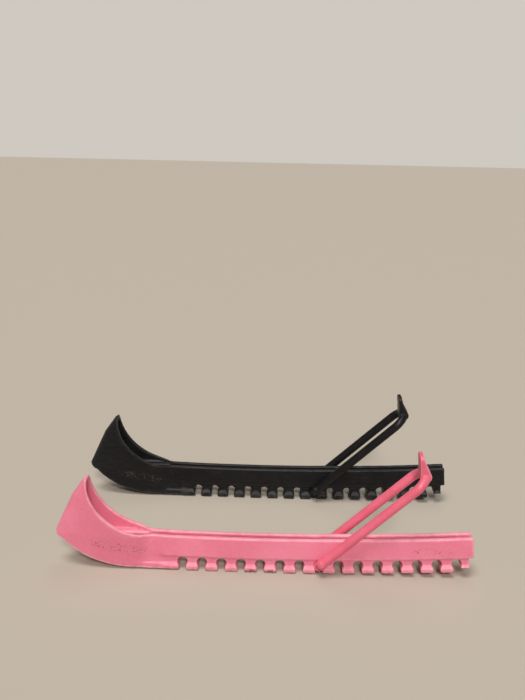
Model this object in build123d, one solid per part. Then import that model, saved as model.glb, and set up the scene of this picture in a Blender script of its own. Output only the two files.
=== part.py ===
"""A pair of hockey skate blade guards: two moulded channels with toe cups, each with a rubber heel strap.

Millimetres, +Z up. The guards lie side by side along X, toes at -X and heels at +X, and stand on z = 0.
The origin is the centre of the pair's footprint.
"""

from build123d import *
import math
import os

os.makedirs("parts", exist_ok=True)

# The pair
LENGTH = 333.0
PAIR_SPACING = 131.0
TOE_X = -LENGTH / 2
HEEL_X = LENGTH / 2

# Channel section
FOOT_HALF = 9.3
FOOT_EDGE = 4.0
WAIST_HALF = 6.9
WAIST_LOW = 6.2
WAIST_TOP = 11.0
STEP_HALF = 7.9
STEP_Z = 12.0
RIM_HALF = 6.0
WALL_TOP = 28.0
SLOT_HALF = 2.3
SLOT_FLOOR = 14.0
EDGE_ROUND = 1.1

# The channel follows the blade's rocker: one long arc, lowest near the middle
TREAD_LOW_X = -15.0
TREAD_ARC = 2500.0
TREAD_SHORT = 2.6
TREAD_SHORT_BELOW = 0.4
END_TOOTH_SHORT = 3.6
WORN_FLAT = 0.08

# Keyhole notches along the tread, the last one at the heel
NOTCH_COUNT = 15
NOTCH_PITCH = 15.6
NOTCH_LAST_X = 154.0
NOTCH_RADIUS = 4.0
NOTCH_Z = 6.5
NECK_HALF = 2.75
TOOTH_ROUND = 1.5

# Toe cup
CUP_REAR_X = -84.0
KEEL_START_X = -107.0
KEEL_ARC = 81.0
KEEL_TURN = 41.2
NOSE_Z = 28.7
NOSE_TOP_Z = 32.7
NOSE_RELIEF = 0.4
PROW_KNEE_Z = 60.7
PROW_TOP_Z = 75.0
PROW_SLOPE = 0.455
PROW_TOP_SLOPE = 0.70
CUP_WALL = 3.2
CUP_BELLY_X = -106.0
CUP_REAR_HALF = 5.4
CUP_FLOOR = 27.2
CUP_FLOOR_ARC = 48.0
CUP_FLOOR_TURN = 60.0
RIM_START_X = -90.0
RIM_LOW_ARC = 54.4
RIM_SLOPE = 48.0
RIM_HIGH_ARC = 44.0
BELLY_FLARE = 0.095
BELLY_CURVE = 0.0004
CUP_FLOOR_X = -128.0
SLOT_TOP_Z = 41.7
SLOT_TURN = 50.0

# Heel strap
STRAP_NOTCH = 7
STRAP_RADIUS = 3.75
STRAP_HALF = 12.9
STRAP_LEG = 99.3
STRAP_ANGLE = 41.88
STRAP_OFFSET = 2.1
BOSS_RADIUS = 4.35
BOSS_ALONG = 4.6
BAR_HALF = 9.8
BAR_CLEARANCE = 0.08
TAB_HEIGHT = 17.5
TAB_HALF = 7.5
TAB_CORNER = 3.5

# Cutting shapes reach past the guard on every side
FAR_WIDTH = 40.0
FAR_TOP = 120.0
FAR_FRONT = -200.0
FAR_BACK = -60.0
PAST = 4.0


def side_plate(outline, half_width):
    """A closed outline in the XZ plane, made a plate of the given half width about y = 0."""
    return extrude(make_face(Plane.XZ * outline), amount=half_width, both=True)


def section():
    """The channel's cross-section, in the YZ plane."""
    side = [
        (FOOT_HALF, 0),
        (FOOT_HALF, FOOT_EDGE),
        (WAIST_HALF, WAIST_LOW),
        (WAIST_HALF, WAIST_TOP),
        (STEP_HALF, STEP_Z),
        (RIM_HALF, WALL_TOP),
        (SLOT_HALF, WALL_TOP),
        (SLOT_HALF, SLOT_FLOOR),
    ]
    other = [(-y, z) for y, z in reversed(side)]
    outline = make_face(Polyline(side + other, close=True))
    sharp = [v for v in outline.vertices() if min(abs(v.Y - z) for z in (0, FOOT_EDGE, WALL_TOP)) < 0.01]
    outer = [v for v in sharp if abs(v.X) > SLOT_HALF + 0.1]
    return Plane.YZ * fillet(outer, EDGE_ROUND)


def tread_axis():
    """The axis about which the whole channel is bent."""
    return Axis((TREAD_LOW_X, 0, TREAD_ARC), (0, -1, 0))


def tread_turn(x):
    """Degrees about the tread's axis that carry its lowest point to a place x along the guard."""
    return math.degrees(math.asin((x - TREAD_LOW_X) / TREAD_ARC))


def along_tread(shape, x):
    """Carries a shape made at x = 0 on a level tread to a place x along the guard."""
    return (Pos(TREAD_LOW_X, 0, 0) * shape).rotate(tread_axis(), tread_turn(x))


def tread_line(height, back_x, front_x):
    """A line in the side view, parallel to the tread at a height above it."""
    start = tread_turn(back_x)
    return CenterArc((TREAD_LOW_X, TREAD_ARC), TREAD_ARC - height, 270 + start, tread_turn(front_x) - start)


def channel():
    """The bent channel with its open slot, from the keel to the heel."""
    start = along_tread(section(), KEEL_START_X)
    # the square-cut end leans with the tread, and its furthest point is the wall's lower edge
    lean = math.degrees(math.asin((HEEL_X - TREAD_LOW_X) / (TREAD_ARC - STEP_Z)))
    body = revolve(start, axis=tread_axis(), revolution_arc=lean - tread_turn(KEEL_START_X))
    block = Box(FAR_WIDTH, FAR_WIDTH, FAR_WIDTH, align=(Align.MIN, Align.CENTER, Align.MAX))
    body -= along_tread(Pos(0, 0, STEP_Z - TREAD_SHORT_BELOW) * block, HEEL_X - TREAD_SHORT)
    return body - along_tread(Pos(0, 0, END_TOOTH_SHORT) * block, NOTCH_LAST_X)


def nose_x(z):
    """The prow's furthest point toward the toe at a height."""
    if z <= NOSE_Z:
        return TOE_X
    if z <= PROW_KNEE_Z:
        return TOE_X + PROW_SLOPE * (z - NOSE_Z)
    return nose_x(PROW_KNEE_Z) + PROW_TOP_SLOPE * (z - PROW_KNEE_Z)


def belly(z):
    """The cup's half width at a height: it flares upward."""
    return FOOT_HALF + BELLY_FLARE * z - BELLY_CURVE * z * z


def waterline(z, inset, rear_half):
    """A level outline through the cup, from the channel round the prow and back."""
    half = belly(z) - inset
    front = nose_x(z) + 1.15 * inset
    reach = CUP_BELLY_X - front
    middle = (CUP_REAR_X + CUP_BELLY_X) / 2
    near = Bezier((CUP_REAR_X, -rear_half), (middle, -rear_half), (middle, -half), (CUP_BELLY_X, -half))
    prow = (front + 0.22 * reach, -half), (front, -0.55 * half)
    bow = Bezier((CUP_BELLY_X, -half), *prow, (front, 0))
    side = near + bow
    rear = Line((CUP_REAR_X, rear_half), (CUP_REAR_X, -rear_half))
    return Pos(0, 0, z) * make_face(rear + side + mirror(side, about=Plane.XZ))


def hull(inset, rear_half, low):
    """The cup as a solid hull, lofted up through its waterlines."""
    levels = [low, NOSE_Z, PROW_KNEE_Z, PROW_TOP_Z]
    faces = [waterline(z, inset, rear_half) for z in levels]
    pieces = [loft([a, b], ruled=True) for a, b in zip(faces, faces[1:])]
    return pieces[0] + pieces[1] + pieces[2]


def upward_line(x, height, radius, turn):
    """An arc in the side view that curls up toward the toe, from x on a line parallel to the tread."""
    start = math.radians(tread_turn(x))
    inward = TREAD_ARC - height - radius
    centre = (TREAD_LOW_X + inward * math.sin(start), TREAD_ARC - inward * math.cos(start))
    return CenterArc(centre, radius, 270 + tread_turn(x), -turn)


def keel_outline():
    """The cup's side view: the tread's line, then a keel arc that rises to a rounded nose."""
    foot = tread_line(0, FAR_BACK, KEEL_START_X)
    back = foot @ 0
    keel = upward_line(KEEL_START_X, 0, KEEL_ARC, KEEL_TURN)
    tip = keel @ 1
    front = ThreePointArc(tip, (TOE_X + NOSE_RELIEF, (tip.Y + NOSE_TOP_Z) / 2), (TOE_X, NOSE_TOP_Z))
    rest = Polyline((TOE_X, NOSE_TOP_Z), (TOE_X, FAR_TOP), (back.X, FAR_TOP), back)
    return foot + keel + front + rest


def rim_outline():
    """What is cut away above the cup: the rim sweeps up from the channel's top to the prow in two arcs."""
    edge = tread_line(WALL_TOP, CUP_REAR_X + PAST, RIM_START_X)
    back = edge @ 0
    low = upward_line(RIM_START_X, WALL_TOP, RIM_LOW_ARC, RIM_SLOPE + tread_turn(RIM_START_X))
    knee = low @ 1
    lean = math.radians(RIM_SLOPE)
    centre = (knee.X + RIM_HIGH_ARC * math.sin(lean), knee.Y + RIM_HIGH_ARC * math.cos(lean))
    high = CenterArc(centre, RIM_HIGH_ARC, 270 - RIM_SLOPE, RIM_SLOPE - 90)
    peak = high @ 1
    top = Polyline(peak, (peak.X, FAR_TOP), (back.X, FAR_TOP), back)
    return edge + low + high + top


def blade_slot():
    """The blade's slot where it runs forward under the cup, its floor rising like the keel."""
    level = tread_line(SLOT_FLOOR, CUP_REAR_X + PAST, KEEL_START_X)
    back = level @ 0
    floor = upward_line(KEEL_START_X, SLOT_FLOOR, KEEL_ARC - SLOT_FLOOR, SLOT_TURN)
    end = floor @ 1
    top = Polyline(end, (end.X, SLOT_TOP_Z), (back.X, SLOT_TOP_Z), back)
    return side_plate(level + floor + top, SLOT_HALF)


def cup_space():
    """The hollow that takes the skate's toe, above its own floor."""
    floor = CenterArc((CUP_FLOOR_X, CUP_FLOOR + CUP_FLOOR_ARC), CUP_FLOOR_ARC, 270, -CUP_FLOOR_TURN)
    end = floor @ 1
    front = [(FAR_FRONT, end.Y), (FAR_FRONT, FAR_TOP), (FAR_BACK, FAR_TOP)]
    top = Polyline(end, *front, (FAR_BACK, CUP_FLOOR), (CUP_FLOOR_X, CUP_FLOOR))
    return hull(CUP_WALL, SLOT_HALF, CUP_FLOOR / 2) & side_plate(floor + top, FAR_WIDTH)


def notch_cutter():
    """One keyhole across the tread, at x = 0: a round hole over a narrower neck with rounded teeth."""
    low = TOOTH_ROUND
    right = Polyline((0, -PAST), (NECK_HALF + low, -PAST), (NECK_HALF + low, 0))
    corner = RadiusArc((NECK_HALF + low, 0), (NECK_HALF, low), TOOTH_ROUND)
    neck = Polyline((NECK_HALF, low), (NECK_HALF, NOTCH_Z), (0, NOTCH_Z))
    half = right + corner + neck
    shape = make_face(Plane.XZ * (half + mirror(half, about=Plane.YZ)))
    across = extrude(shape, amount=FOOT_HALF + PAST, both=True)
    hole = Rot(90, 0, 0) * Cylinder(NOTCH_RADIUS, 2 * (FOOT_HALF + PAST))
    return across + Pos(0, 0, NOTCH_Z) * hole


def notch_x(index):
    """The place of a notch, counted from the toe."""
    return NOTCH_LAST_X - NOTCH_PITCH * (NOTCH_COUNT - 1 - index)


def guard():
    """One guard: channel, toe cup and notched tread in a single moulding."""
    cup = hull(0, CUP_REAR_HALF, -PAST) & side_plate(keel_outline(), FAR_WIDTH)
    body = channel() + cup
    body -= side_plate(rim_outline(), FAR_WIDTH)
    body -= cup_space()
    body -= blade_slot()
    for index in range(NOTCH_COUNT):
        body -= along_tread(notch_cutter(), notch_x(index))
    floor = Box(2 * LENGTH, FAR_WIDTH, FAR_WIDTH, align=(Align.CENTER, Align.CENTER, Align.MAX))
    return Pos(0, 0, -WORN_FLAT) * body - floor


def strap():
    """One heel strap: a round rubber loop with end bosses, a bar through its notch and a pull tab."""
    start = BOSS_ALONG
    leg = STRAP_LEG
    path = Line((start, -STRAP_HALF), (leg, -STRAP_HALF))
    path += ThreePointArc((leg, -STRAP_HALF), (leg + STRAP_HALF, 0), (leg, STRAP_HALF))
    path += Line((leg, STRAP_HALF), (start, STRAP_HALF))
    loop = sweep(Plane(origin=(start, -STRAP_HALF, 0), z_dir=(1, 0, 0)) * Circle(STRAP_RADIUS), path=path)
    bar = Rot(90, 0, 0) * Cylinder(NOTCH_RADIUS - BAR_CLEARANCE, 2 * BAR_HALF)
    for side in (-1, 1):
        loop += Pos(start, side * STRAP_HALF, 0) * Sphere(BOSS_RADIUS)
    loop = Pos(0, 0, STRAP_OFFSET) * loop + bar
    return Pos(0, 0, NOTCH_Z - WORN_FLAT) * (Rot(0, -STRAP_ANGLE, 0) * loop) + pull_tab()


def pull_tab():
    """The tab that rises from the back of the loop and leans forward, with a web down to the loop."""
    reach = STRAP_LEG + STRAP_HALF
    angle = math.radians(STRAP_ANGLE)
    back = reach * math.cos(angle) - STRAP_OFFSET * math.sin(angle)
    level = NOTCH_Z - WORN_FLAT + reach * math.sin(angle) + STRAP_OFFSET * math.cos(angle)
    web = [(-4.9, -2.8), (1.2, -3.4), (3.5, -1.6), (3.7, 1.2), (1.7, 5.0), (-0.7, 9.2)]
    blade = [(-1.9, 12.6), (-3.0, TAB_HEIGHT), (-5.9, TAB_HEIGHT), (-5.8, 13.0), (-5.4, 9.0)]
    outline = Polyline([(back + x, level + z) for x, z in web + blade], close=True)
    tall = 2 * TAB_HEIGHT
    front = Pos(0, level + TAB_HEIGHT - tall / 2) * RectangleRounded(2 * TAB_HALF, tall, TAB_CORNER)
    keep = extrude(Plane.YZ * front, amount=2 * reach, both=True)
    return side_plate(outline, TAB_HALF) & keep


def write(name, shape):
    """One sub-part, one file."""
    export_step(shape, f"parts/{name}.step")
    print(name, round(shape.volume), shape.bounding_box().min, shape.bounding_box().max)


one_guard = guard()
one_strap = along_tread(strap(), notch_x(STRAP_NOTCH))
for colour, y in (("pink", -PAIR_SPACING / 2), ("black", PAIR_SPACING / 2)):
    write(f"{colour}_guard", Pos(0, y, 0) * one_guard)
    write(f"{colour}_heel_strap", Pos(0, y, 0) * one_strap)
pivot = along_tread(Pos(0, 0, NOTCH_Z - WORN_FLAT) * Sphere(0.5), notch_x(STRAP_NOTCH)).center()
print("strap bar", pivot)
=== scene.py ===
"""A pair of skate blade guards with rubber heel straps: pieces, materials, light and camera."""

import math

import bpy
import numpy as np
from mathutils import Matrix, Vector
from mathutils.bvhtree import BVHTree
from mathutils.noise import noise


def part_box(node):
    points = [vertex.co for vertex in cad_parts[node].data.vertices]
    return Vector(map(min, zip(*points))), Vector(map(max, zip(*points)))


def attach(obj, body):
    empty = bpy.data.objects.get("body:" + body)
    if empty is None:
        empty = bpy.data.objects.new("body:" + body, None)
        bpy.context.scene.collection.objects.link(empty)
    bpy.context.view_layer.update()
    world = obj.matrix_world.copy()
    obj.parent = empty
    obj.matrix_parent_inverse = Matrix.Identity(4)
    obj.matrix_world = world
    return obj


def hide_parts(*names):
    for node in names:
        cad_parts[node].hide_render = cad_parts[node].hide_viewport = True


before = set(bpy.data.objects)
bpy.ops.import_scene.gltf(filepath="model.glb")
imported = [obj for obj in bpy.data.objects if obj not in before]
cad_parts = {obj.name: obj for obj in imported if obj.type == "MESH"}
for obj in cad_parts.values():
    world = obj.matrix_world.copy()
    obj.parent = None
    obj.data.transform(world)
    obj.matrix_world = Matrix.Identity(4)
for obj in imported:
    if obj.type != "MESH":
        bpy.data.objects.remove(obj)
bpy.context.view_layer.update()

MM = 0.001

# The middle line of each guard, from its node's box
LINE_Y = {}
for colour in ("pink", "black"):
    low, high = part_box(f"{colour}_guard")
    LINE_Y[colour] = round((low[1] + high[1]) / 2 / MM, 1)

# How finely each moulding is rebuilt from its CAD solid, and how much its edges are softened
GUARD_VOXEL = 0.735
GUARD_SOFTENING = 3
STRAP_VOXEL = 0.42
STRAP_SOFTENING = 5

# Slow and quick waves in the walls of soft plastic, as size and height, fading out near the tread
WALL_WAVES = [(34, 0.16), (11, 0.05)]
WAVES_START_Z = 3
WAVES_FULL_Z = 9

# Teeth of the tread whose undersides are torn by walking, by their x
TORN_TEETH = {"pink": [-9.8, 5.8, 130.6], "black": [-41.0, 68.2]}
TOOTH_PITCH = 15.6

# The tears: how far up they start, how deep they go, how wide and how ragged they are
TEAR_HEIGHT = 3.4
TEAR_DEPTH = 3.0
TEAR_WIDTH = 1.35
TEAR_RAGGEDNESS = 0.8
TEAR_ELSEWHERE = 0.10
TEAR_INWARD = 0.35

# Tears are shallower within this distance of a guard's middle line
TEAR_MIDDLE = 4

# Where the toe cup's sides leave the channel, and how far each way that corner is eased
CUP_CREASE_X = -91.0
CREASE_REACH = 9.0
CREASE_ROUNDS = 60

# The keel's underside and lower edge get a pale painted highlight forward of here
KEEL_HIGHLIGHT_START_X = -76.0
KEEL_HIGHLIGHT_FADE = 8.0
KEEL_HIGHLIGHT_HEIGHT = 1.7

# How strongly a bend shows as an edge or a corner, and how far a wall shelters the surface opposite
BEND_GAIN = 12
SHELTER_REACH = 12
SHELTER_GAP = 0.3


# Mouldings


def remade(node, name, voxel, rounds):
    """A new piece with a CAD node's shape, in even small faces and with softened edges."""
    piece = bpy.data.objects.new(name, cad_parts[node].data.copy())
    bpy.context.scene.collection.objects.link(piece)
    remesh = piece.modifiers.new("Remesh", "REMESH")
    remesh.mode = "VOXEL"
    remesh.voxel_size = voxel * MM
    soften = piece.modifiers.new("Soften", "SMOOTH")
    soften.factor = 0.5
    soften.iterations = rounds
    graph = bpy.context.evaluated_depsgraph_get()
    shape = bpy.data.meshes.new_from_object(piece.evaluated_get(graph))
    piece.modifiers.clear()
    piece.data = shape
    shape.materials.clear()
    shape.shade_smooth()
    return piece


def points(mesh):
    """The mesh's vertices in millimetres."""
    flat = np.empty(len(mesh.vertices) * 3)
    mesh.vertices.foreach_get("co", flat)
    return flat.reshape(-1, 3) / MM


def put_points(mesh, where):
    """Moves the mesh's vertices to these places, in millimetres."""
    mesh.vertices.foreach_set("co", (where * MM).ravel())
    mesh.update()


def normals(mesh):
    """The mesh's vertex normals."""
    flat = np.empty(len(mesh.vertices) * 3)
    mesh.vertex_normals.foreach_get("vector", flat)
    return flat.reshape(-1, 3)


def links(mesh):
    """The two ends of every edge of the mesh."""
    flat = np.empty(len(mesh.edges) * 2, dtype=np.int32)
    mesh.edges.foreach_get("vertices", flat)
    return flat.reshape(-1, 2)


def spread(values, ends, rounds=1):
    """Values averaged over each vertex's neighbours, as often as asked."""
    count = np.bincount(ends.ravel(), minlength=len(values)).astype(float)
    count[count == 0] = 1
    for _ in range(rounds):
        total = np.zeros_like(values)
        np.add.at(total, ends[:, 0], values[ends[:, 1]])
        np.add.at(total, ends[:, 1], values[ends[:, 0]])
        values = total / (count if values.ndim == 1 else count[:, None])
    return values


def waves(where, size, seed):
    """Smooth noise from -1 to 1 at each place, with features of a size in millimetres."""
    shift = Vector((seed * 17.3, seed * 5.1, seed * 9.7))
    return np.array([noise(Vector(p) / size + shift) for p in where])


def keep(mesh, name, values):
    """Stores one number per vertex, from 0 to 1, for the materials."""
    layer = mesh.attributes.new(name, "FLOAT", "POINT")
    layer.data.foreach_set("value", np.clip(values, 0, 1).astype(np.float32))


def mark_edges(mesh, voxel):
    """Stores where the surface is an outer edge, lightened as wear and as a painted highlight, and where it
    is an inner corner, coloured as soiling and as painted shade.
    """
    where = points(mesh)
    ends = links(mesh)
    bend = -np.einsum("ij,ij->i", spread(where, ends) - where, normals(mesh)) / voxel
    bend = spread(bend, ends, 2)
    keep(mesh, "edge", bend * BEND_GAIN)
    keep(mesh, "corner", -bend * BEND_GAIN)


def mark_shelter(mesh):
    """Stores how closed in each vertex is: 0 in the open, 1 deep in a slot or hole."""
    tree = BVHTree.FromPolygons([v.co for v in mesh.vertices], [p.vertices for p in mesh.polygons])
    sideways = [(1, 0, 0.4), (-1, 0, 0.4), (0, 1, 0.4), (0, -1, 0.4)]
    around = [Vector(way).normalized() for way in [(0, 0, 1), *sideways]]
    hidden = np.zeros(len(mesh.vertices))
    for index, (vertex, normal) in enumerate(zip(mesh.vertices, mesh.vertex_normals)):
        turn = Vector((0, 0, 1)).rotation_difference(normal.vector)
        start = vertex.co + normal.vector * SHELTER_GAP * MM
        for way in around:
            if tree.ray_cast(start, turn @ way, SHELTER_REACH * MM)[0] is not None:
                hidden[index] += 1 / len(around)
    keep(mesh, "shelter", spread(hidden, links(mesh), 3))


def ease_crease(mesh, colour):
    """Rounds the corner where the toe cup's sides leave the channel's walls."""
    where = points(mesh)
    outward = normals(mesh)[:, 1] * np.sign(where[:, 1] - LINE_Y[colour])
    share = np.clip((outward - 0.75) / 0.2, 0, 1)
    share *= np.clip(1.4 - np.abs(where[:, 0] - CUP_CREASE_X) / CREASE_REACH, 0, 1)
    ends = links(mesh)
    ends = ends[share[ends].max(axis=1) > 0]
    across = where[:, 1].copy()
    for _ in range(CREASE_ROUNDS):
        across += share * (spread(across, ends) - across)
    where[:, 1] = across
    put_points(mesh, where)


def mark_keel_highlight(mesh):
    """Stores where the keel's underside and lower edge get a pale painted highlight."""
    where = points(mesh)
    slot = np.floor(where[:, 0]).astype(int)
    slot -= slot.min()
    lowest = np.full(slot.max() + 1, np.inf)
    np.minimum.at(lowest, slot, where[:, 2])
    keel_highlight = np.clip(1.3 - (where[:, 2] - lowest[slot]) / KEEL_HIGHLIGHT_HEIGHT, 0, 1)
    keel_highlight *= np.clip((KEEL_HIGHLIGHT_START_X - where[:, 0]) / KEEL_HIGHLIGHT_FADE, 0, 1)
    keep(mesh, "keel_highlight", keel_highlight)


def wave_walls(mesh, seed):
    """Gives the walls the slight waviness of soft plastic."""
    where = points(mesh)
    wavy = sum(waves(where, size, seed + step) * height for step, (size, height) in enumerate(WALL_WAVES))
    wavy *= np.clip((where[:, 2] - WAVES_START_Z) / (WAVES_FULL_Z - WAVES_START_Z), 0, 1)
    put_points(mesh, where + normals(mesh) * wavy[:, None])


def tear_teeth(mesh, colour, seed):
    """Tears the undersides of some teeth, and stores where."""
    where = points(mesh)
    low = np.clip((TEAR_HEIGHT - where[:, 2]) / TEAR_HEIGHT, 0, 1)
    near = np.nonzero(low > 0)[0]
    rough = np.zeros(len(where))
    rough[near] = np.clip(waves(where[near], TEAR_WIDTH, seed) * 3.4 + 0.45, 0, 1)
    rough[near] *= 0.8 + 0.4 * waves(where[near], TEAR_RAGGEDNESS, seed + 1)
    torn = np.full(len(where), TEAR_ELSEWHERE)
    for x in TORN_TEETH[colour]:
        torn = np.maximum(torn, np.clip(1.2 - np.abs(where[:, 0] - x) / (TOOTH_PITCH * 0.4), 0, 1))
    off_middle = where[:, 1] - LINE_Y[colour]
    side = np.clip((np.abs(off_middle) - TEAR_MIDDLE) / TEAR_MIDDLE, 0.25, 1)
    lift = low * rough * torn * side * TEAR_DEPTH
    where[:, 2] += lift
    where[:, 1] -= np.sign(off_middle) * lift * TEAR_INWARD
    put_points(mesh, where)
    keep(mesh, "tear", lift / TEAR_DEPTH * 2)


def wear_guard(mesh, colour, seed):
    """Everything that use and soft plastic do to a guard's shape, and the marks for its material, painted
    highlights and painted shade among them.
    """
    ease_crease(mesh, colour)
    wave_walls(mesh, seed)
    tear_teeth(mesh, colour, seed + len(WALL_WAVES))
    mark_keel_highlight(mesh)
    mark_edges(mesh, GUARD_VOXEL)
    mark_shelter(mesh)


# Materials


class Paint:
    """A material being put together node by node."""

    def __init__(self, name):
        self.material = bpy.data.materials.new(name)
        self.material.use_nodes = True
        self.tree = self.material.node_tree
        self.shader = self.tree.nodes["Principled BSDF"]
        place = self.add("ShaderNodeTexCoord")
        self.place = self.maths("SCALE", place.outputs["Object"], scale=1 / MM, vector=True)

    def add(self, kind, **settings):
        node = self.tree.nodes.new(kind)
        for name, value in settings.items():
            setattr(node, name, value)
        return node

    def feed(self, socket, value):
        if isinstance(value, bpy.types.NodeSocket):
            self.tree.links.new(value, socket)
        else:
            socket.default_value = value

    def maths(self, operation, a, b=None, scale=None, vector=False):
        kind = "ShaderNodeVectorMath" if vector else "ShaderNodeMath"
        node = self.add(kind, operation=operation)
        self.feed(node.inputs[0], a)
        if b is not None:
            self.feed(node.inputs[1], b)
        if scale is not None:
            self.feed(node.inputs["Scale"], scale)
        return node.outputs[0]

    def speckle(self, size, detail=3.0, stretch=(1, 1, 1), turn=(0, 0, 0), rough=0.5):
        """Noise about 0.5 with features of a size in millimetres, drawn out along the axes."""
        lay = self.add("ShaderNodeMapping")
        self.feed(lay.inputs["Vector"], self.place)
        lay.inputs["Rotation"].default_value = turn
        lay.inputs["Scale"].default_value = [1 / (size * s) for s in stretch]
        node = self.add("ShaderNodeTexNoise")
        self.feed(node.inputs["Vector"], lay.outputs[0])
        node.inputs["Scale"].default_value = 1.0
        node.inputs["Detail"].default_value = detail
        node.inputs["Roughness"].default_value = rough
        return node.outputs["Fac"]

    def span(self, value, low, high, to_low=0.0, to_high=1.0):
        """Maps low..high to to_low..to_high, smoothly and without going past."""
        node = self.add("ShaderNodeMapRange", interpolation_type="SMOOTHSTEP")
        for name, number in zip(("From Min", "From Max", "To Min", "To Max"), (low, high, to_low, to_high)):
            node.inputs[name].default_value = number
        self.feed(node.inputs["Value"], value)
        return node.outputs[0]

    def stored(self, name):
        return self.add("ShaderNodeAttribute", attribute_name=name).outputs["Fac"]

    def blend(self, share, a, b):
        """Colour a where share is 0, colour b where it is 1."""
        node = self.add("ShaderNodeMix", data_type="RGBA")
        self.feed(node.inputs[0], share)
        for socket, colour in ((node.inputs[6], a), (node.inputs[7], b)):
            self.feed(socket, (*colour, 1) if isinstance(colour, tuple) else colour)
        return node.outputs[2]

    def axis(self, index):
        parts = self.add("ShaderNodeSeparateXYZ")
        self.feed(parts.inputs[0], self.place)
        return parts.outputs[index]

    def times(self, a, b):
        return self.maths("MULTIPLY", a, b)

    def plus(self, a, b):
        return self.maths("ADD", a, b)

    def bump(self, height, depth):
        """Relief from a height from 0 to 1 that stands for a depth in millimetres."""
        node = self.add("ShaderNodeBump")
        node.inputs["Strength"].default_value = 1.0
        node.inputs["Distance"].default_value = depth * MM
        self.feed(node.inputs["Height"], height)
        self.feed(self.shader.inputs["Normal"], node.outputs[0])


def scratches(paint):
    """Thin scuff lines along the sides, in patches: 1 on a line."""
    lines = paint.span(paint.speckle(1, 2, (26, 26, 0.42), (0, 0.05, 0)), 0.60, 0.66)
    cross = paint.span(paint.speckle(1, 2, (14, 14, 0.34), (0, 0.5, 0)), 0.635, 0.68)
    patch = paint.span(paint.speckle(24, 2), 0.47, 0.66)
    return paint.times(paint.maths("MAXIMUM", lines, cross), patch)


def rubbed_patch(paint, x, z, half_x, half_z, slope):
    """1 in a soft oval on the sides about a place x, z, along a line with a slope."""
    along = paint.maths("SUBTRACT", paint.axis(0), x)
    above = paint.maths("SUBTRACT", paint.maths("SUBTRACT", paint.axis(2), z), paint.times(along, slope))
    across = paint.maths("DIVIDE", along, half_x)
    up = paint.maths("DIVIDE", above, half_z)
    far = paint.plus(paint.times(across, across), paint.times(up, up))
    return paint.span(far, 1.0, 0.25)


def guard_plastic(name, look):
    """Soft moulded satin plastic with scuffs; edges lightened as wear and as a painted highlight, a pale
    painted highlight along the keel, soiling and painted shade low down and in inner corners, and painted
    shade deep in slots and holes.
    """
    paint = Paint(name)
    edge = paint.stored("edge")
    corner = paint.stored("corner")
    shelter = paint.stored("shelter")
    tear = paint.stored("tear")
    height = paint.axis(2)

    mottle = paint.speckle(38, 4)
    fine = paint.speckle(2.2, 4)
    marks = scratches(paint)
    colour = paint.blend(paint.span(mottle, 0.35, 0.65), look["deep"], look["body"])
    colour = paint.blend(paint.times(paint.span(fine, 0.40, 0.66), 0.10), colour, look["light"])
    # Edges are lightened, partly as wear and partly as a painted highlight
    edge_in_places = paint.span(paint.speckle(5, 3), 0.28, 0.60, 0.35, 1.0)
    edge_wear_and_highlight = paint.times(paint.span(edge, 0.15, 0.75), edge_in_places)
    colour = paint.blend(paint.times(edge_wear_and_highlight, look["edge_wear_and_highlight_share"]), colour, look["light"])
    colour = paint.blend(paint.times(marks, look["mark_share"]), colour, look["light"])

    rubbed = 0.0
    for spot in look["rubbed"]:
        rubbed = paint.maths("MAXIMUM", rubbed, rubbed_patch(paint, *spot))
    specks = paint.span(paint.speckle(1.5, 5, (1.2, 1.2, 0.9)), 0.53, 0.66)
    specks = paint.times(specks, paint.span(paint.speckle(7, 2), 0.42, 0.62, 0.40, 1.0))
    scuffs = paint.times(rubbed, specks)
    colour = paint.blend(paint.times(scuffs, 0.8), colour, look["grime_and_shade"])
    crumbs = paint.span(paint.speckle(0.8, 2), 0.70, 0.76)
    loose = paint.times(crumbs, paint.span(paint.speckle(16, 2), 0.45, 0.62))
    colour = paint.blend(paint.times(loose, 0.6), colour, look["grime_and_shade"])

    # A pale painted highlight along the keel's lower edge and underside
    keel_highlight_in_places = paint.span(paint.speckle(3, 3, (1.6, 1, 1)), 0.30, 0.55, 0.3, 1.0)
    keel_highlit = paint.times(paint.stored("keel_highlight"), keel_highlight_in_places)
    colour = paint.blend(paint.times(keel_highlit, look["keel_highlight_share"]), colour, look["pale"])

    # Darker towards the bottom: soiling, and on the pink plastic painted shade low down
    low_grime_and_shade = paint.times(paint.span(height, 7.5, 0.5), paint.span(paint.speckle(4.5, 4), 0.38, 0.66))
    colour = paint.blend(paint.times(low_grime_and_shade, look["low_grime_and_shade_share"]), colour, look["grime_and_shade"])
    colour = paint.blend(paint.times(tear, 0.55), colour, look["grime_and_shade"])
    # Inner corners take on the soiling colour: on the pink plastic this is painted shade as well
    corner_dust_and_shade = paint.times(paint.span(corner, 0.12, 0.8), paint.span(paint.speckle(6, 3), 0.30, 0.62))
    colour = paint.blend(paint.times(corner_dust_and_shade, 0.38), colour, look["grime_and_shade"])
    # Deep in slots and holes the colour goes to the inner colour, a painted shade on the pink plastic
    hidden = paint.times(paint.span(shelter, 0.45, 1.0), look["inner_share"])
    colour = paint.blend(hidden, colour, look["inner"])
    paint.feed(paint.shader.inputs["Base Color"], colour)

    gloss = paint.span(paint.speckle(9, 4), 0.3, 0.7, look["rough"] - 0.07, look["rough"] + 0.08)
    gloss = paint.plus(gloss, paint.times(marks, 0.12))
    gloss = paint.plus(gloss, paint.times(low_grime_and_shade, 0.15))
    paint.feed(paint.shader.inputs["Roughness"], gloss)

    relief = paint.times(paint.speckle(0.55, 2), 0.22)
    relief = paint.plus(relief, paint.times(paint.speckle(4.5, 3), 0.75))
    relief = paint.maths("SUBTRACT", relief, paint.times(marks, 0.16))
    relief = paint.maths("SUBTRACT", relief, paint.times(tear, paint.times(paint.speckle(0.9, 3), 1.4)))
    relief = paint.maths("SUBTRACT", relief, paint.times(scuffs, 0.35))
    paint.bump(relief, 0.07)
    finish_shader(paint.shader, look)
    return paint.material


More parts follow.
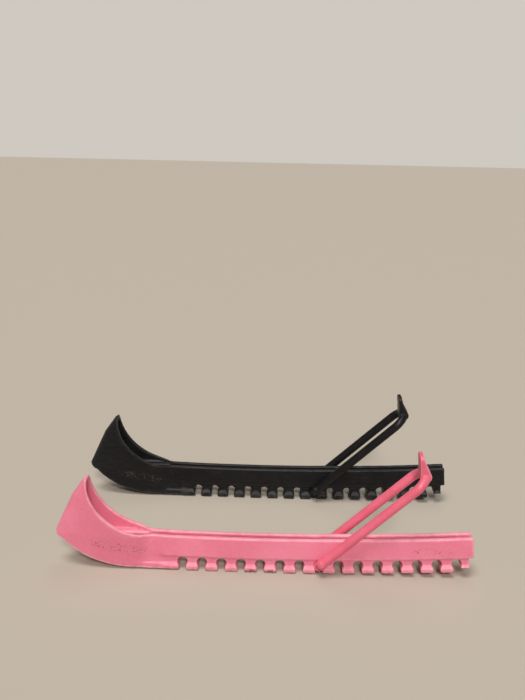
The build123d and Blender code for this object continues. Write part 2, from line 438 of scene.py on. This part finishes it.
def strap_rubber(name, look):
    """Moulded rubber, smoother and deeper in colour, with a fine grain, loose soiling, edges lightened as
    stretch marks and as a painted highlight, and soiling and painted shade in inner corners.
    """
    paint = Paint(name)
    edge = paint.stored("edge")
    corner = paint.stored("corner")
    mottle = paint.speckle(17, 4)
    fine = paint.speckle(1.5, 4)
    colour = paint.blend(paint.span(mottle, 0.34, 0.66), look["deep"], look["body"])
    colour = paint.blend(paint.times(paint.span(fine, 0.42, 0.68), 0.08), colour, look["light"])
    # Edges are lightened, partly as wear and partly as a painted highlight
    colour = paint.blend(paint.times(paint.span(edge, 0.30, 0.95), look["edge_wear_and_highlight_share"]), colour, look["light"])
    # Inner corners take on the soiling colour: on the pink rubber this is painted shade as well
    strap_corner_dust_and_shade = paint.times(paint.span(corner, 0.10, 0.7), paint.span(paint.speckle(4, 3), 0.32, 0.62))
    colour = paint.blend(paint.times(strap_corner_dust_and_shade, 0.45), colour, look["grime_and_shade"])
    crumbs = paint.span(paint.speckle(0.7, 2), 0.69, 0.75)
    loose = paint.times(crumbs, paint.span(paint.speckle(12, 2), 0.46, 0.62))
    colour = paint.blend(paint.times(loose, 0.5), colour, look["grime_and_shade"])
    paint.feed(paint.shader.inputs["Base Color"], colour)
    gloss = paint.span(paint.speckle(6, 4), 0.3, 0.7, look["rough"] - 0.06, look["rough"] + 0.08)
    paint.feed(paint.shader.inputs["Roughness"], gloss)
    relief = paint.times(paint.speckle(0.4, 2), 0.25)
    relief = paint.plus(relief, paint.times(paint.speckle(3.0, 3), 0.6))
    paint.bump(relief, 0.05)
    finish_shader(paint.shader, look)
    return paint.material


def finish_shader(shader, look):
    """The parts of the finish that are the same all over the surface."""
    shader.inputs["IOR"].default_value = 1.5
    shader.inputs["Specular IOR Level"].default_value = look["specular"]
    shader.inputs["Subsurface Weight"].default_value = look["through"]
    shader.inputs["Subsurface Radius"].default_value = (1.0, 0.42, 0.40)
    shader.inputs["Subsurface Scale"].default_value = 1.6 * MM
    shader.inputs["Sheen Weight"].default_value = look["sheen"]
    shader.inputs["Sheen Roughness"].default_value = 0.5


PINK_PLASTIC = {
    "body": (0.86, 0.225, 0.350),
    "deep": (0.80, 0.193, 0.300),
    "light": (0.94, 0.43, 0.50),
    "pale": (0.93, 0.58, 0.62),
    "grime_and_shade": (0.19, 0.080, 0.085),
    "inner": (0.42, 0.10, 0.13),
    "inner_share": 0.5,
    "keel_highlight_share": 0.75,
    "edge_wear_and_highlight_share": 0.55,
    "mark_share": 0.35,
    "low_grime_and_shade_share": 0.30,
    "rough": 0.44,
    "specular": 0.45,
    "through": 0.12,
    "sheen": 0.05,
    "rubbed": [(-117, 20, 31, 5.5, -0.15), (134, 22, 19, 3.6, 0)],
}
BLACK_PLASTIC = {
    "body": (0.0075, 0.0075, 0.0085),
    "deep": (0.0055, 0.0055, 0.0060),
    "light": (0.045, 0.044, 0.044),
    "pale": (0.075, 0.073, 0.071),
    "grime_and_shade": (0.11, 0.10, 0.09),
    "inner": (0.012, 0.012, 0.012),
    "inner_share": 0.5,
    "keel_highlight_share": 0.6,
    "edge_wear_and_highlight_share": 0.35,
    "mark_share": 0.45,
    "low_grime_and_shade_share": 0.35,
    "rough": 0.43,
    "specular": 0.22,
    "through": 0.0,
    "sheen": 0.0,
    "rubbed": [(-117, 20, 25, 5, -0.15)],
}
PINK_RUBBER = {
    "body": (0.82, 0.150, 0.240),
    "deep": (0.76, 0.124, 0.200),
    "light": (0.95, 0.33, 0.40),
    "grime_and_shade": (0.24, 0.12, 0.11),
    "edge_wear_and_highlight_share": 0.4,
    "rough": 0.40,
    "specular": 0.5,
    "through": 0.15,
    "sheen": 0.06,
}
BLACK_RUBBER = {
    "body": (0.0075, 0.0075, 0.0080),
    "deep": (0.0055, 0.0055, 0.0060),
    "light": (0.040, 0.039, 0.039),
    "grime_and_shade": (0.08, 0.07, 0.06),
    "edge_wear_and_highlight_share": 0.35,
    "rough": 0.40,
    "specular": 0.26,
    "through": 0.0,
    "sheen": 0.0,
}


# The pair

FINISHES = {
    "pink": (guard_plastic("pink_pvc", PINK_PLASTIC), strap_rubber("pink_rubber", PINK_RUBBER)),
    "black": (guard_plastic("black_pvc", BLACK_PLASTIC), strap_rubber("black_rubber", BLACK_RUBBER)),
}
for seed, (colour, (plastic, rubber)) in enumerate(FINISHES.items(), 1):
    moulding = remade(f"{colour}_guard", f"{colour}_guard_moulding", GUARD_VOXEL, GUARD_SOFTENING)
    wear_guard(moulding.data, colour, seed)
    moulding.data.materials.append(plastic)
    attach(moulding, f"{colour}_guard")
    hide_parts(f"{colour}_guard")

    loop = remade(f"{colour}_heel_strap", f"{colour}_strap_loop", STRAP_VOXEL, STRAP_SOFTENING)
    mark_edges(loop.data, STRAP_VOXEL)
    loop.data.materials.append(rubber)
    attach(loop, f"{colour}_strap")
    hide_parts(f"{colour}_heel_strap")


# Floor, light and camera

bpy.context.scene.view_settings.view_transform = "Standard"

FLOOR_HALF = 4.0
FLOOR_Z = -0.0001
floor_mesh = bpy.data.meshes.new("floor")
corners = [(x * FLOOR_HALF, y * FLOOR_HALF, FLOOR_Z) for x, y in ((-1, -1), (1, -1), (1, 1), (-1, 1))]
floor_mesh.from_pydata(corners, [], [(0, 1, 2, 3)])
floor = bpy.data.objects.new("floor", floor_mesh)
bpy.context.scene.collection.objects.link(floor)
floor_finish = bpy.data.materials.new("pale_floor")
floor_finish.use_nodes = True
floor_shader = floor_finish.node_tree.nodes["Principled BSDF"]
floor_shader.inputs["Base Color"].default_value = (0.50, 0.45, 0.385, 1)
floor_shader.inputs["Roughness"].default_value = 0.75
floor_shader.inputs["Specular IOR Level"].default_value = 0.25
floor_mesh.materials.append(floor_finish)

# A dim room with a pale band at the horizon, so that the floor runs into a pale backdrop. The band
# ends between these heights of the unit sphere.
HORIZON_GLOW = 0.62
ROOM_GLOW = 0.10
BAND_FULL = 0.10
BAND_GONE = 0.20
world = bpy.data.worlds.new("studio")
world.use_nodes = True
sky = world.node_tree
way = sky.nodes.new("ShaderNodeTexCoord")
split = sky.nodes.new("ShaderNodeSeparateXYZ")
glow = sky.nodes.new("ShaderNodeMapRange")
glow.interpolation_type = "SMOOTHSTEP"
glow.inputs["From Min"].default_value = BAND_FULL
glow.inputs["From Max"].default_value = BAND_GONE
glow.inputs["To Min"].default_value = HORIZON_GLOW
glow.inputs["To Max"].default_value = ROOM_GLOW
sky.links.new(way.outputs["Generated"], split.inputs[0])
sky.links.new(split.outputs["Z"], glow.inputs["Value"])
sky.links.new(glow.outputs[0], sky.nodes["Background"].inputs["Strength"])
sky.nodes["Background"].inputs["Color"].default_value = (1.0, 0.94, 0.86, 1)
bpy.context.scene.world = world


def soft_light(name, source, strength, softness):
    """A distant light that shines from the source's direction, softness degrees across."""
    lamp = bpy.data.lights.new(name, "SUN")
    lamp.energy = strength
    lamp.angle = math.radians(softness)
    lamp.color = (1.0, 0.97, 0.93)
    holder = bpy.data.objects.new(name, lamp)
    holder.rotation_euler = Vector(source).to_track_quat("Z", "Y").to_euler()
    bpy.context.scene.collection.objects.link(holder)


soft_light("overhead", (-0.25, -0.45, 1.6), 1.85, 26)
soft_light("front", (0.2, -1.45, 1.2), 1.55, 11)
soft_light("rear", (0.3, 0.8, 1.6), 0.35, 30)

# The camera, turned left, tilted down and rolled a little
CAMERA_PLACE = (0.0078, -0.6787, 0.36825)
YAW = math.radians(-1.10)
PITCH = math.radians(16.81)
ROLL = math.radians(-1.21)
FOCAL_LENGTH = 44.18
ahead = Vector((math.sin(YAW) * math.cos(PITCH), math.cos(YAW) * math.cos(PITCH), -math.sin(PITCH)))
level = Vector((math.cos(YAW), -math.sin(YAW), 0))
down = ahead.cross(level)
right = math.cos(ROLL) * level + math.sin(ROLL) * down
under = math.cos(ROLL) * down - math.sin(ROLL) * level
turn = Matrix((right, -under, -ahead)).transposed().to_4x4()
lens = bpy.data.cameras.new("camera")
lens.lens = FOCAL_LENGTH
lens.sensor_width = 36
lens.clip_start = 0.01
camera = bpy.data.objects.new("camera", lens)
camera.matrix_world = Matrix.Translation(CAMERA_PLACE) @ turn
bpy.context.scene.collection.objects.link(camera)
bpy.context.scene.camera = camera
